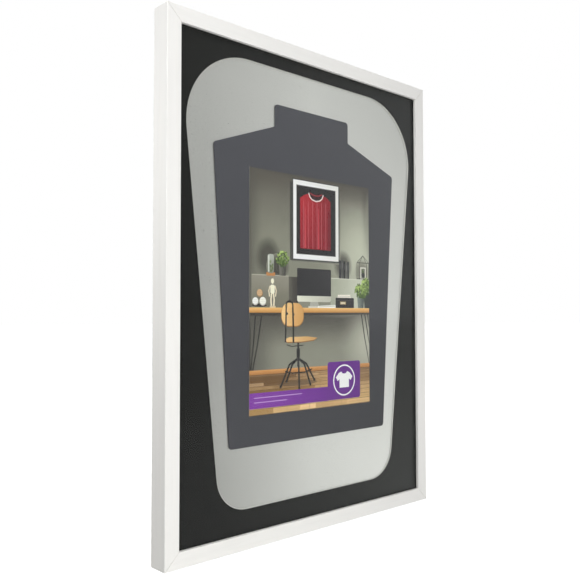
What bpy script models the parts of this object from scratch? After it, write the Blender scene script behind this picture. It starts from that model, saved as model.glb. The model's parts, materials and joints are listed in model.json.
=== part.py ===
"""Jersey display frame, 500 x 700 mm nominal: a deep white moulding, mitred and
pinned at the corners, that holds glazing, a black window mount, a shirt-shaped
former on a silver backing card, foam spacer strips and a hardboard back.  The
back is held by turn buttons, and the frame hangs on two D-ring hangers.

Metres, +Z up, the glazed front faces -Y.  The origin is midway between the two
D-rings, on the wall plane that the rear bumpers touch.
"""

import math

import bmesh
import bpy
from mathutils import Matrix, Vector

MM = 0.001

# ---- driving dimensions (millimetres) ---------------------------------------
CONTENT_W, CONTENT_H = 500.0, 700.0     # nominal size of what the rabbet takes
WALL_T = 14.0                           # moulding wall outside the rabbet
LIP_W = 7.5                             # how far the front lip covers the glazing
LIP_T = 5.0                             # lip thickness, front to back
RAIL_D = 33.0                           # moulding depth, front to back
ARRIS_R = 0.9                           # rounding of the moulding's front edges
BACK_ARRIS_R = 0.4                      # rounding of its rear outer edge
FRAME_W = CONTENT_W + 2 * WALL_T        # 528 overall
FRAME_H = CONTENT_H + 2 * WALL_T        # 728 overall
RAIL_W = WALL_T + LIP_W                 # 21.5 visible face
HANG_DROP = 182.0                       # D-ring line below the frame's top edge
WALL_GAP = 5.0                          # bumper height: moulding back to wall
GAP = 0.3                               # clearance kept between touching pieces
BOARD_CLEAR = 0.5                       # boards are this much smaller each side

GLAZING_T = 1.5
BOARD_T = 1.4                           # mount board
INSERT_T = 0.25
BACK_T = 2.5
SPACER_T = 5.0

# window cut in the black mount: a tapered opening, heights from the frame's foot
WINDOW_TOP, WINDOW_BOTTOM = 686.0, 55.0
WINDOW_HALF_TOP, WINDOW_HALF_BOTTOM = 240.2, 173.6   # of the sharp-cornered shape
WINDOW_R_TOP, WINDOW_R_BOTTOM = 103.0, 50.0

# shirt former, heights from the frame's foot
NECK_HALF, NECK_TOP, NECK_FOOT = 76.5, 634.0, 600.5
SHOULDER_HALF, SHOULDER_Z = 185.8, 560.0
HEM_HALF, HEM_Z = 158.8, 138.5
FORMER_R = 5.0

INSERT_W, INSERT_H, INSERT_MID = 250.0, 353.0, 357.4

# turn buttons: distance of the pivot from the moulding's outer edge
PIVOT_IN = 7.0
BUTTON_T = 1.2
BUTTON_R = 5.0
BUTTON_TIP_R = 3.4
BUTTON_REACH = 19.0
SCREW_R = 1.5
HEAD_R, HEAD_H = 3.0, 1.8
SIDE_BUTTONS = (-230.0, 0.0, 230.0)     # along each long rail, from its middle
END_BUTTONS = (-130.0, 130.0)           # along each short rail, from its middle

# D-ring hangers
WIRE_R = 0.9
STRAP_LEAF_T = 0.7
STRAP_W = 9.0
RING_PIVOT_IN = 17.0                    # from the moulding's outer edge
RING_HALF_W, RING_REACH = 8.0, 10.0

BUMPER_X = 235.0
BUMPER_R_BASE, BUMPER_R_END = 5.0, 4.0

# ---- derived positions --------------------------------------------------------
Z_TOP = HANG_DROP
Z_BOT = HANG_DROP - FRAME_H
Z_MID = (Z_TOP + Z_BOT) / 2
Y_FRONT = -(WALL_GAP + RAIL_D)

D_GLAZING = LIP_T + GAP
D_INSERT = D_GLAZING + GLAZING_T + GAP
D_BOARDS = D_INSERT + INSERT_T + GAP            # former and window mount
D_CARD = D_BOARDS + BOARD_T + GAP               # silver backing card
D_SPACER = D_CARD + BOARD_T + GAP
D_BACK = RAIL_D - GAP - BACK_T
D_BUTTON = RAIL_D + GAP
D_HEAD = D_BUTTON + BUTTON_T + GAP
LOOP_R_IN = WIRE_R + GAP
LOOP_R_OUT = LOOP_R_IN + STRAP_LEAF_T
D_WIRE = RAIL_D + GAP + LOOP_R_OUT
STRAP_T = 2 * STRAP_LEAF_T


def y_at(depth):
    """World Y, in mm, of a depth behind the moulding's front face."""
    return Y_FRONT + depth


def z_at(height):
    """World Z, in mm, of a height above the frame's foot."""
    return Z_BOT + height


# ---- scene and helpers ----------------------------------------------------------
for old in list(bpy.data.objects):
    bpy.data.objects.remove(old, do_unlink=True)

PARTS = bpy.data.collections.new("jersey_display_frame")
CUTTERS = bpy.data.collections.new("cutters")
bpy.context.scene.collection.children.link(PARTS)
bpy.context.scene.collection.children.link(CUTTERS)
CUTTERS.hide_render = True


def material(name, rgb, roughness, metallic=0.0, alpha=1.0):
    found = bpy.data.materials.get(name)
    if found:
        return found
    made = bpy.data.materials.new(name)
    made.use_nodes = True
    shader = made.node_tree.nodes["Principled BSDF"]
    shader.inputs["Base Color"].default_value = (*rgb, 1.0)
    shader.inputs["Roughness"].default_value = roughness
    shader.inputs["Metallic"].default_value = metallic
    shader.inputs["Alpha"].default_value = alpha
    return made


def put(obj, collection=PARTS, mat=None, smooth=None):
    """Link to one collection, give a material, and shade round shapes smooth."""
    for owner in list(obj.users_collection):
        owner.objects.unlink(obj)
    collection.objects.link(obj)
    if mat:
        obj.data.materials.clear()
        obj.data.materials.append(mat)
    if smooth:
        obj.data.shade_smooth()
        obj.data.set_sharp_from_angle(angle=math.radians(smooth))
    if collection is CUTTERS:
        obj.hide_render = True
        obj.display_type = "WIRE"
    return obj


def arc(cx, cy, r, a0, a1, steps):
    """Points on an arc, angles in degrees."""
    return [
        (cx + r * math.cos(math.radians(a0 + (a1 - a0) * i / steps)),
         cy + r * math.sin(math.radians(a0 + (a1 - a0) * i / steps)))
        for i in range(steps + 1)
    ]


def rounded(corners, radii, steps):
    """A polygon whose corners are replaced by arcs; steps is per corner."""
    out = []
    n = len(corners)
    for i, corner in enumerate(corners):
        p = Vector(corner)
        a = (Vector(corners[i - 1]) - p).normalized()
        b = (Vector(corners[(i + 1) % n]) - p).normalized()
        r, k = radii[i], steps[i]
        half = math.acos(max(-1.0, min(1.0, a.dot(b)))) / 2
        if r <= 0 or k == 0:
            out.append((p.x, p.y))
            continue
        reach = r / math.tan(half)
        start, end = p + a * reach, p + b * reach
        middle = p + (a + b).normalized() * (r / math.sin(half))
        a0 = math.atan2(start.y - middle.y, start.x - middle.x)
        a1 = math.atan2(end.y - middle.y, end.x - middle.x)
        turn = (a1 - a0 + math.pi) % (2 * math.pi) - math.pi
        for j in range(k + 1):
            t = a0 + turn * j / k
            out.append((middle.x + r * math.cos(t), middle.y + r * math.sin(t)))
    return out


def window_outline(grow=0.0, steps=(20, 12)):
    """The mount's tapered window, grown outwards by `grow` mm."""
    lean = math.atan2(WINDOW_HALF_TOP - WINDOW_HALF_BOTTOM, WINDOW_TOP - WINDOW_BOTTOM)
    side = grow / math.cos(lean)
    top, bottom = z_at(WINDOW_TOP) + grow, z_at(WINDOW_BOTTOM) - grow
    half_top = WINDOW_HALF_TOP + side + grow * math.tan(lean)
    half_bottom = WINDOW_HALF_BOTTOM + side - grow * math.tan(lean)
    corners = [(-half_top, top), (-half_bottom, bottom), (half_bottom, bottom), (half_top, top)]
    rt, rb = WINDOW_R_TOP + grow, WINDOW_R_BOTTOM + grow
    return rounded(corners, [rt, rb, rb, rt], [steps[0], steps[1], steps[1], steps[0]])


def former_outline(steps=3):
    z = z_at
    corners = [
        (-NECK_HALF, z(NECK_TOP)), (-NECK_HALF, z(NECK_FOOT)),
        (-SHOULDER_HALF, z(SHOULDER_Z)), (-HEM_HALF, z(HEM_Z)),
        (HEM_HALF, z(HEM_Z)), (SHOULDER_HALF, z(SHOULDER_Z)),
        (NECK_HALF, z(NECK_FOOT)), (NECK_HALF, z(NECK_TOP)),
    ]
    r = FORMER_R
    return rounded(corners, [r, 2, r, r, r, r, 2, r], [steps] * 8)


def flat_curve(name, loops, thickness):
    """A filled 2D outline, thickness mm deep, centred on its plane."""
    data = bpy.data.curves.new(name, "CURVE")
    data.dimensions = "2D"
    data.fill_mode = "BOTH"
    data.extrude = thickness * MM / 2
    for loop in loops:
        spline = data.splines.new("POLY")
        spline.points.add(len(loop) - 1)
        for point, (x, y) in zip(spline.points, loop):
            point.co = (x * MM, y * MM, 0.0, 1.0)
        spline.use_cyclic_u = True
    obj = bpy.data.objects.new(name, data)
    bpy.context.scene.collection.objects.link(obj)
    return obj


def as_mesh(obj):
    """The object's evaluated shape as a welded mesh object of the same name."""
    bpy.context.view_layer.update()
    graph = bpy.context.evaluated_depsgraph_get()
    mesh = bpy.data.meshes.new_from_object(obj.evaluated_get(graph))
    name, matrix = obj.name, obj.matrix_world.copy()
    bpy.data.objects.remove(obj, do_unlink=True)
    bm = bmesh.new()
    bm.from_mesh(mesh)
    bmesh.ops.remove_doubles(bm, verts=bm.verts, dist=1e-6)
    bmesh.ops.recalc_face_normals(bm, faces=bm.faces)
    bm.to_mesh(mesh)
    bm.free()
    made = bpy.data.objects.new(name, mesh)
    bpy.context.scene.collection.objects.link(made)
    made.matrix_world = matrix
    return made


# A panel's outline is drawn in local XY and stands up in world XZ.
STAND_UP = Matrix.Rotation(math.radians(90), 4, "X")


def panel(name, loops, depth, thickness, mat):
    """A sheet parallel to the frame's face, `depth` mm behind its front."""
    obj = flat_curve(name, loops, thickness)
    obj.matrix_world = (
        Matrix.Translation((0, y_at(depth + thickness / 2) * MM, 0)) @ STAND_UP
    )
    return put(as_mesh(obj), mat=mat)


def box(name, size, centre, mat, bevel=0.0):
    bpy.ops.mesh.primitive_cube_add(size=1.0, location=[c * MM for c in centre])
    obj = bpy.context.object
    obj.name = name
    obj.scale = [s * MM for s in size]
    bpy.ops.object.transform_apply(location=False, rotation=False, scale=True)
    if bevel:
        edge = obj.modifiers.new("Bevel", "BEVEL")
        edge.width = bevel * MM
        edge.segments = 2
    return put(obj, mat=mat)


def cut(obj, cutter):
    step = obj.modifiers.new("Cut", "BOOLEAN")
    step.operation = "DIFFERENCE"
    step.solver = "EXACT"
    step.object = cutter
    return obj


def turned(name, profile, steps, matrix, mat):
    """A turned piece from (radius, height) points, down the outer side."""
    mesh = bpy.data.meshes.new(name)
    verts = [(r * MM, 0.0, h * MM) for r, h in profile]
    mesh.from_pydata(verts, [(i, i + 1) for i in range(len(verts) - 1)], [])
    obj = bpy.data.objects.new(name, mesh)
    bpy.context.scene.collection.objects.link(obj)
    spin = obj.modifiers.new("Screw", "SCREW")
    spin.axis = "Z"
    spin.angle = math.radians(360)
    spin.steps = spin.render_steps = steps
    spin.use_merge_vertices = True
    spin.merge_threshold = 0.00001
    obj.matrix_world = matrix
    return put(obj, mat=mat)


# ---- materials ------------------------------------------------------------------
WHITE = material("white_moulding", (0.87, 0.87, 0.85), 0.45)
CLEAR = material("clear_glazing", (0.95, 0.97, 0.97), 0.05, alpha=0.15)
BLACK_CARD = material("black_mount_board", (0.026, 0.026, 0.024), 0.8)
FORMER_GREY = material("graphite_board", (0.095, 0.098, 0.105), 0.8)
SILVER_CARD = material("silver_card", (0.52, 0.52, 0.50), 0.55)
PAPER = material("printed_paper", (0.45, 0.42, 0.36), 0.5)
FOAM = material("foam_board", (0.82, 0.82, 0.80), 0.8)
HARDBOARD = material("hardboard", (0.36, 0.22, 0.12), 0.75)
ZINC = material("zinc_steel", (0.62, 0.62, 0.60), 0.32, 1.0)
DARK_STEEL = material("v_nail_steel", (0.32, 0.32, 0.33), 0.4, 1.0)
RUBBER = material("bumper_rubber", (0.05, 0.05, 0.05), 0.7)


# ---- moulding -------------------------------------------------------------------
def moulding_section():
    """Section of the moulding: x from the outer edge inwards, y front to back."""
    corners = [
        (0.0, 0.0), (RAIL_W, 0.0), (RAIL_W, LIP_T),
        (WALL_T, LIP_T), (WALL_T, RAIL_D), (0.0, RAIL_D),
    ]
    return rounded(corners, [ARRIS_R, ARRIS_R, 0, 0, 0, BACK_ARRIS_R], [3, 3, 0, 0, 0, 2])


# Each rail's own frame: x inwards, y rearwards, z along the rail.
RAIL_SIDES = {
    "left": (Vector((1, 0, 0)), Vector((0, 0, 1)), Vector((-FRAME_W / 2, 0, Z_MID)), FRAME_H),
    "right": (Vector((-1, 0, 0)), Vector((0, 0, -1)), Vector((FRAME_W / 2, 0, Z_MID)), FRAME_H),
    "top": (Vector((0, 0, -1)), Vector((1, 0, 0)), Vector((0, 0, Z_TOP)), FRAME_W),
    "bottom": (Vector((0, 0, 1)), Vector((-1, 0, 0)), Vector((0, 0, Z_BOT)), FRAME_W),
}


def rail_matrix(side):
    inward, along, middle, _ = RAIL_SIDES[side]
    turn = Matrix((inward, Vector((0, 1, 0)), along)).transposed().to_4x4()
    place = Vector((middle.x, y_at(0), middle.z)) * MM
    return Matrix.Translation(place) @ turn


def rail_buttons(side):
    return SIDE_BUTTONS if side in ("left", "right") else END_BUTTONS


# V-nails: a folded plate whose spine lies on the mitre, driven in from the back.
NAIL_LEG, NAIL_T, NAIL_H = 7.0, 0.6, 10.0
NAIL_SPINE = 11.5                       # spine to the outer edges


def nail_outline(grow):
    """The V seen from behind a corner: u, v run inwards from the outer edges."""
    a, t = NAIL_SPINE + grow, NAIL_T + 2 * grow
    b = NAIL_SPINE - NAIL_LEG - grow
    return [(a, a), (b, a), (b, a - t), (a - t, a - t), (a - t, b), (a, b)]


def nail_solid(name, grow, height, depth, corner_x, corner_z):
    """A V-nail, or the slot for it, standing `height` mm in the corner given."""
    sx, sz = (1 if corner_x < 0 else -1), (1 if corner_z < 0 else -1)
    loop = [
        (corner_x * FRAME_W / 2 + sx * u, (Z_TOP if corner_z > 0 else Z_BOT) + sz * v)
        for u, v in nail_outline(grow)
    ]
    obj = flat_curve(name, [loop], height)
    obj.matrix_world = Matrix.Translation((0, y_at(depth + height / 2) * MM, 0)) @ STAND_UP
    return as_mesh(obj)


CORNERS = {
    "top_left": (-1, 1), "top_right": (1, 1),
    "bottom_left": (-1, -1), "bottom_right": (1, -1),
}
RAIL_CORNERS = {
    "left": ("top_left", "bottom_left"), "right": ("top_right", "bottom_right"),
    "top": ("top_left", "top_right"), "bottom": ("bottom_left", "bottom_right"),
}


def rail_cutter(side):
    """Pilot holes for the turn-button and hanger screws, and the V-nail slots."""
    matrix = rail_matrix(side)
    places = list(rail_buttons(side))
    if side in ("left", "right"):
        hanger = (0.0 - Z_MID) * (1 if side == "left" else -1)
        places.append(hanger)
    bm = bmesh.new()
    hole_len, over = 10.0, 3.0
    for along in places:
        spot = matrix @ Matrix.Translation(
            (PIVOT_IN * MM, (RAIL_D - hole_len / 2 + over / 2) * MM, along * MM)
        ) @ Matrix.Rotation(math.radians(-90), 4, "X")
        bmesh.ops.create_cone(
            bm, cap_ends=True, segments=16, radius1=(SCREW_R + GAP) * MM,
            radius2=(SCREW_R + GAP) * MM, depth=(hole_len + over) * MM, matrix=spot,
        )
    bmesh.ops.recalc_face_normals(bm, faces=bm.faces)
    for corner in RAIL_CORNERS[side]:
        slot = nail_solid("slot", GAP, NAIL_H + 4.0, RAIL_D - NAIL_H - 0.6, *CORNERS[corner])
        slot.data.transform(slot.matrix_world)
        bm.from_mesh(slot.data)
        bpy.data.objects.remove(slot, do_unlink=True)
    mesh = bpy.data.meshes.new(f"cut_{side}")
    bm.to_mesh(mesh)
    bm.free()
    cutter = bpy.data.objects.new(f"cut_{side}", mesh)
    return put(cutter, CUTTERS)


def rail(side):
    """One mitred bar of the moulding."""
    length = RAIL_SIDES[side][3]
    obj = as_mesh(flat_curve(f"rail_{side}", [moulding_section()], length))
    bm = bmesh.new()
    bm.from_mesh(obj.data)
    for end in (1, -1):
        no = Vector((1, 0, end)).normalized()
        co = Vector((0, 0, end * length / 2)) * MM - no * (GAP * MM / 2)
        found = bmesh.ops.bisect_plane(
            bm, geom=bm.verts[:] + bm.edges[:] + bm.faces[:], dist=1e-7,
            plane_co=co, plane_no=no, clear_outer=True,
        )
        open_edges = [e for e in found["geom_cut"] if isinstance(e, bmesh.types.BMEdge)]
        bmesh.ops.edgeloop_fill(bm, edges=open_edges)
    bmesh.ops.recalc_face_normals(bm, faces=bm.faces)
    bm.to_mesh(obj.data)
    bm.free()
    obj.matrix_world = rail_matrix(side)
    put(obj, mat=WHITE, smooth=40)
    return cut(obj, rail_cutter(side))


for side in RAIL_SIDES:
    rail(side)

for corner, (cx, cz) in CORNERS.items():
    nail = nail_solid(f"v_nail_{corner}", 0.0, NAIL_H, RAIL_D - NAIL_H - 0.2, cx, cz)
    put(nail, mat=DARK_STEEL)


# ---- the pack of sheets inside the rabbet -----------------------------------------
BOARD_W, BOARD_H = CONTENT_W - 2 * BOARD_CLEAR, CONTENT_H - 2 * BOARD_CLEAR


def sheet(name, depth, thickness, mat):
    return box(
        name, (BOARD_W, thickness, BOARD_H), (0, y_at(depth + thickness / 2), Z_MID), mat
    )


sheet("glazing", D_GLAZING, GLAZING_T, CLEAR)
sheet("silver_backing_card", D_CARD, BOARD_T, SILVER_CARD)
sheet("back_board", D_BACK, BACK_T, HARDBOARD)


def window_mount():
    """Black mount with the tapered window, cut at 45 degrees: wider at the front."""
    hw, hh = BOARD_W / 2, BOARD_H / 2
    edge = [(-hw, Z_MID - hh), (hw, Z_MID - hh), (hw, Z_MID + hh), (-hw, Z_MID + hh)]
    back_loop = window_outline(0.0)
    front_loop = window_outline(BOARD_T)
    obj = panel("window_mount", [edge, back_loop], D_BOARDS, BOARD_T, BLACK_CARD)
    front = [v for v in obj.data.vertices if v.co.z > 0]
    for (bx, bz), (fx, fz) in zip(back_loop, front_loop):
        near = min(front, key=lambda v: (v.co.x - bx * MM) ** 2 + (v.co.y - bz * MM) ** 2)
        near.co.x, near.co.y = fx * MM, fz * MM
    return obj


window_mount()
panel("shirt_former", [former_outline()], D_BOARDS, BOARD_T, FORMER_GREY)
box(
    "paper_insert", (INSERT_W, INSERT_T, INSERT_H),
    (0, y_at(D_INSERT + INSERT_T / 2), z_at(INSERT_MID)), PAPER,
)

# foam-board strips stand on edge against the rabbet wall and hold the boards forward
SPACER_D = D_BACK - GAP - D_SPACER
spacer_mid = y_at(D_SPACER + SPACER_D / 2)
for side, sx in (("left", -1), ("right", 1)):
    box(
        f"spacer_{side}", (SPACER_T, SPACER_D, BOARD_H),
        (sx * (BOARD_W - SPACER_T) / 2, spacer_mid, Z_MID), FOAM,
    )
for side, sz in (("top", 1), ("bottom", -1)):
    box(
        f"spacer_{side}", (BOARD_W - 2 * SPACER_T - 2 * GAP, SPACER_D, SPACER_T),
        (0, spacer_mid, Z_MID + sz * (BOARD_H - SPACER_T) / 2), FOAM,
    )


# ---- turn buttons and screws --------------------------------------------------------
def button_outline():
    """Seen from behind, pivot at the origin, reaching along +x."""
    lean = math.degrees(math.acos((BUTTON_R - BUTTON_TIP_R) / (BUTTON_REACH - BUTTON_TIP_R)))
    heel = arc(0, 0, BUTTON_R, lean, 360 - lean, 14)
    tip = arc(BUTTON_REACH - BUTTON_TIP_R, 0, BUTTON_TIP_R, -lean, lean, 8)
    return heel + tip


def screw_profile(head_h, shank):
    """Pan-head wood screw; its head's seat is at height 0."""
    top = [(0.0, head_h), (1.5, head_h), (2.3, 0.88 * head_h), (HEAD_R - 0.15, 0.55 * head_h),
           (HEAD_R, 0.3 * head_h), (HEAD_R, 0.0)]
    return top + [(SCREW_R, 0.0), (SCREW_R, -shank + 2.5), (0.0, -shank)]


def screw(name, x, z, seat_depth, shank):
    """A screw driven in from the back; local +Z points to the wall."""
    matrix = Matrix.Translation((x * MM, y_at(seat_depth) * MM, z * MM)) @ Matrix.Rotation(
        math.radians(-90), 4, "X"
    )
    return turned(name, screw_profile(HEAD_H, shank), 20, matrix, ZINC)


def turn_button(name, x, z, inward):
    """A flat button; its origin is on the pivot axis."""
    hole = arc(0, 0, SCREW_R + GAP, 0, 360, 16)[:-1]
    obj = as_mesh(flat_curve(name, [button_outline(), hole], BUTTON_T))
    # local x inwards, local z towards the wall
    turn = Matrix((inward, Vector((0, 1, 0)).cross(inward), Vector((0, 1, 0)))).transposed()
    obj.matrix_world = (
        Matrix.Translation((x * MM, y_at(D_BUTTON + BUTTON_T / 2) * MM, z * MM))
        @ turn.to_4x4()
    )
    return put(obj, mat=ZINC)


SHORT = {"left": ("upper", "middle", "lower"), "top": ("left", "right")}
for side in RAIL_SIDES:
    inward = RAIL_SIDES[side][0]
    for along in rail_buttons(side):
        if side in ("left", "right"):
            x = math.copysign(FRAME_W / 2 - PIVOT_IN, -inward.x)
            z = Z_MID + along
            place = {230.0: "upper", 0.0: "middle", -230.0: "lower"}[along]
        else:
            x = along
            z = (Z_TOP - PIVOT_IN) if side == "top" else (Z_BOT + PIVOT_IN)
            place = "left" if along < 0 else "right"
        turn_button(f"turn_button_{side}_{place}", x, z, inward)
        screw(f"button_screw_{side}_{place}", x, z, D_HEAD, 11.0)


# ---- D-ring hangers -----------------------------------------------------------------
def hanger(side):
    """A folded strap screwed to the side rail, and the ring that swings in its loop."""
    sx = -1 if side == "left" else 1
    outer = sx * FRAME_W / 2
    inward = -sx
    pivot_x = outer + inward * RING_PIVOT_IN
    screw_x = outer + inward * PIVOT_IN
    # strap section: u inwards from the pivot, v rearwards from the loop's centre
    seat = -LOOP_R_OUT
    top = seat + STRAP_T
    tail = -(RING_PIVOT_IN - 2.5)
    a_top = math.degrees(math.asin(top / LOOP_R_OUT))
    loop = arc(0, 0, LOOP_R_OUT, 180 - a_top, -90, 18)
    outline = [(tail, seat), (tail, top)] + loop
    eye = arc(0, 0, LOOP_R_IN, 0, 360, 16)[:-1]
    strap = flat_curve(f"hanger_strap_{side}", [outline, eye], STRAP_W)
    # local x inwards, local y rearwards, local z along the rail
    turn = Matrix(
        (Vector((inward, 0, 0)), Vector((0, 1, 0)), Vector((inward, 0, 0)).cross(Vector((0, 1, 0))))
    ).transposed().to_4x4()
    strap.matrix_world = Matrix.Translation((pivot_x * MM, y_at(D_WIRE) * MM, 0)) @ turn
    strap = put(as_mesh(strap), mat=ZINC, smooth=40)
    bpy.ops.mesh.primitive_cylinder_add(
        vertices=16, radius=(SCREW_R + GAP) * MM, depth=6 * MM,
        location=(screw_x * MM, y_at(RAIL_D + 1.0) * MM, 0),
        rotation=(math.radians(90), 0, 0),
    )
    hole = bpy.context.object
    hole.name = f"cut_strap_{side}"
    cut(strap, put(hole, CUTTERS))
    screw(f"hanger_screw_{side}", screw_x, 0.0, RAIL_D + GAP + STRAP_T + GAP, 11.0)

    # the ring: a straight bar through the loop and a round bow, closed wire
    data = bpy.data.curves.new(f"d_ring_{side}", "CURVE")
    data.dimensions = "3D"
    data.bevel_depth = WIRE_R * MM
    data.bevel_resolution = 2
    data.resolution_u = 1
    bow = RING_REACH - 1.2
    pts = [(0.0, -RING_HALF_W + 1.4), (0.0, -3.0), (0.0, 3.0), (0.0, RING_HALF_W - 1.4)]
    pts += [(0.45, RING_HALF_W - 0.45), (1.4, RING_HALF_W)]
    pts += [
        (1.4 + (bow - 0.2) * math.sin(math.radians(a)), RING_HALF_W * math.cos(math.radians(a)))
        for a in range(15, 180, 15)
    ]
    pts += [(1.4, -RING_HALF_W), (0.45, -RING_HALF_W + 0.45)]
    spline = data.splines.new("POLY")
    spline.points.add(len(pts) - 1)
    for point, (u, w) in zip(spline.points, pts):
        point.co = (inward * u * MM, 0.0, w * MM, 1.0)
    spline.use_cyclic_u = True
    ring = bpy.data.objects.new(f"d_ring_{side}", data)
    ring.location = (pivot_x * MM, y_at(D_WIRE) * MM, 0)
    bpy.context.scene.collection.objects.link(ring)
    put(ring, mat=ZINC)


hanger("left")
hanger("right")


# ---- wall bumpers ---------------------------------------------------------------------
for side, sx in (("left", -1), ("right", 1)):
    base, end = GAP, WALL_GAP
    profile = [(0.0, end), (BUMPER_R_END - 0.5, end), (BUMPER_R_END, end - 0.5),
               (BUMPER_R_BASE, base + 1.0), (BUMPER_R_BASE, base), (0.0, base)]
    matrix = Matrix.Translation(
        (sx * BUMPER_X * MM, y_at(RAIL_D) * MM, (Z_BOT + PIVOT_IN) * MM)
    ) @ Matrix.Rotation(math.radians(-90), 4, "X")
    turned(f"wall_bumper_{side}", profile, 24, matrix, RUBBER)

bpy.context.view_layer.update()
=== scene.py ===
import json
import math
import random

import bmesh
import bpy
import numpy as np
from mathutils import Matrix, Vector
from mathutils.geometry import delaunay_2d_cdt


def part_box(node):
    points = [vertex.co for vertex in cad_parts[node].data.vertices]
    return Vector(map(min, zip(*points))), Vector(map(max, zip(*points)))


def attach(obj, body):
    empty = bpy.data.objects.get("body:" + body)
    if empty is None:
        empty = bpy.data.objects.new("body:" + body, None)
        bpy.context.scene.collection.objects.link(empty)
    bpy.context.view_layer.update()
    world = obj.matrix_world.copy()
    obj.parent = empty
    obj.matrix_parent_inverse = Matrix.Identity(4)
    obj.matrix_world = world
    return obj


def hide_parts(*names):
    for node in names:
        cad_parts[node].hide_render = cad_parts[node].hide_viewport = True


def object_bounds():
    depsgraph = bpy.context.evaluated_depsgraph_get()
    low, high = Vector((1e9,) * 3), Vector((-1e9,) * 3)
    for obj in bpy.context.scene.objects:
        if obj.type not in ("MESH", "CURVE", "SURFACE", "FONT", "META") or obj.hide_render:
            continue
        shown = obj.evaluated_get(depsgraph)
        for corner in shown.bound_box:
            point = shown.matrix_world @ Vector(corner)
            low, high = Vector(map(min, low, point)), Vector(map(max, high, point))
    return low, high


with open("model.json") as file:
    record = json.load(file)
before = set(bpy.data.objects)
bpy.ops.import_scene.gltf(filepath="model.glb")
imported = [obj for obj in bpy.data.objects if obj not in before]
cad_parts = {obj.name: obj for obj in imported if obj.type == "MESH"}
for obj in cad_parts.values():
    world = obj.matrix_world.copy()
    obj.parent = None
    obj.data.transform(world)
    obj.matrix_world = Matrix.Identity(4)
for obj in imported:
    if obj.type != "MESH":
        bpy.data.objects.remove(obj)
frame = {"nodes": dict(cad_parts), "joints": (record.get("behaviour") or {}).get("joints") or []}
CAD_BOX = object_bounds()
NODES = frame["nodes"]
MM = 0.001
scene = bpy.context.scene


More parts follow.
